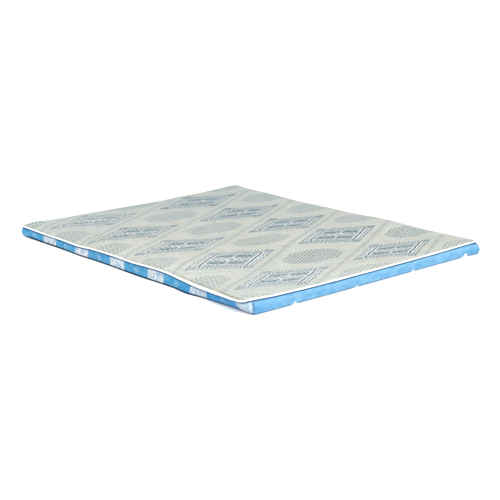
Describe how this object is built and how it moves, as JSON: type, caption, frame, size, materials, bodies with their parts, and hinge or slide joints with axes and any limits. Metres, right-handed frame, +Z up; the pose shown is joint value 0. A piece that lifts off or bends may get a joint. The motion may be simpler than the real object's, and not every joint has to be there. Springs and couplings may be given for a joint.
{
  "type": "mattress",
  "caption": "Thin double mattress lying flat, with a woven ticking top, blue border strips and a white tape edge round its top seam.",
  "frame": {"origin": "middle of the flat underside, where the mattress rests", "axes": "+X along the long sides, +Y across, +Z up; the printed long side that shows is -Y"},
  "size_m": [1.9192, 1.5776, 0.0825],
  "materials": {
    "base_cloth": "plain woven cloth, matt",
    "ticking": "woven ticking, cream with a grey-blue lattice of hatched diamonds",
    "border_print": "blue woven cloth printed with white blocks",
    "border_plain": "plain light blue woven cloth",
    "tape": "white ribbed binding tape"
  },
  "bodies": {
    "root": {"filled_body": "base_cloth", "top_panel": "ticking", "border_front": "border_print", "border_right": "border_plain", "border_back": "border_print", "border_left": "border_plain", "tape_edge": "tape"}
  },
  "joints": []
}
